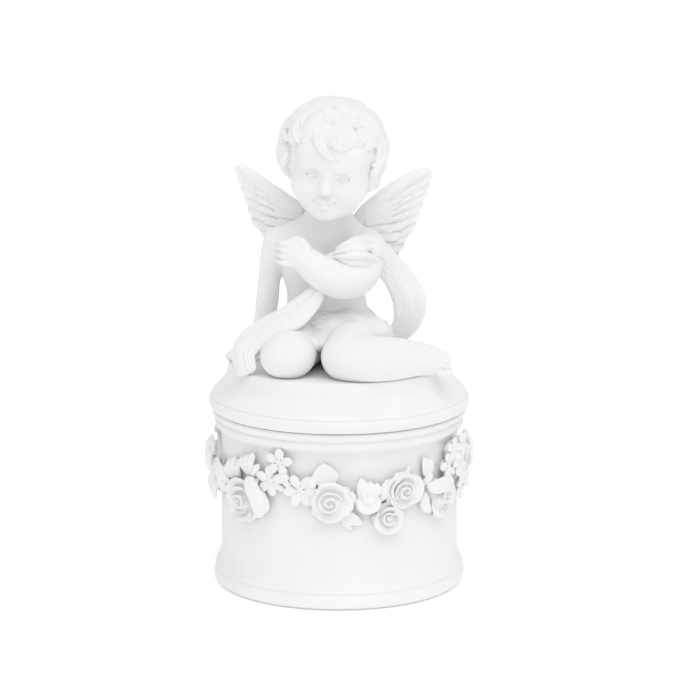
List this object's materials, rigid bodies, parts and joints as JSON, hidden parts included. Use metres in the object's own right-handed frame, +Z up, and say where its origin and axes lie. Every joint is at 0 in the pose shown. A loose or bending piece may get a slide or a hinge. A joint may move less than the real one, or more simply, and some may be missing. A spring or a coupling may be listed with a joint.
{
  "type": "trinket box",
  "caption": "Round cast-resin trinket box with a lift-off lid carrying a seated winged cherub, and a flower garland in relief round the wall.",
  "frame": {"origin": "centre of the underside, on the felt pad's lower face", "axes": "+Z up, along the box's axis; the cherub faces -Y, which is the front; +X is the viewer's right"},
  "size_m": [0.0942, 0.0942, 0.1707],
  "materials": {
    "resin": "matte",
    "felt": "matte"
  },
  "bodies": {
    "box": {"box_body": "resin", "base_felt": "felt", "front_rose_1": "resin", "front_rose_2": "resin", "front_rose_3": "resin", "front_rose_4": "resin", "front_rose_5": "resin", "front_rose_6": "resin", "front_rosette_1": "resin", "front_pansy_1": "resin", "front_daisy_1": "resin", "front_daisy_2": "resin", "front_daisy_3": "resin", "front_daisy_4": "resin", "front_daisy_5": "resin", "front_daisy_6": "resin", "front_leaf_1": "resin", "front_leaf_2": "resin", "front_leaf_3": "resin", "front_leaf_4": "resin", "front_leaf_5": "resin", "front_leaf_6": "resin", "front_leaf_7": "resin", "back_rose_1": "resin", "back_rose_2": "resin", "back_rose_3": "resin", "back_rose_4": "resin", "back_rose_5": "resin", "back_rose_6": "resin", "back_rosette_1": "resin", "back_pansy_1": "resin", "back_daisy_1": "resin", "back_daisy_2": "resin", "back_daisy_3": "resin", "back_daisy_4": "resin", "back_daisy_5": "resin", "back_daisy_6": "resin", "back_leaf_1": "resin", "back_leaf_2": "resin", "back_leaf_3": "resin", "back_leaf_4": "resin", "back_leaf_5": "resin", "back_leaf_6": "resin", "back_leaf_7": "resin"},
    "lid": {"lid_plate": "resin", "torso": "resin", "head": "resin", "hair": "resin", "supporting_arm": "resin", "folded_arm": "resin", "kneeling_leg": "resin", "folded_leg": "resin", "sash_shoulder": "resin", "sash_hanging": "resin", "sash_front": "resin", "lap_cloth": "resin", "wing_right": "resin", "wing_left": "resin"}
  },
  "joints": [
    {"name": "lid_lift", "type": "slide", "parent": "box", "child": "lid", "axis": [0, 0, 1], "range_m": [0, 0.07]}
  ]
}
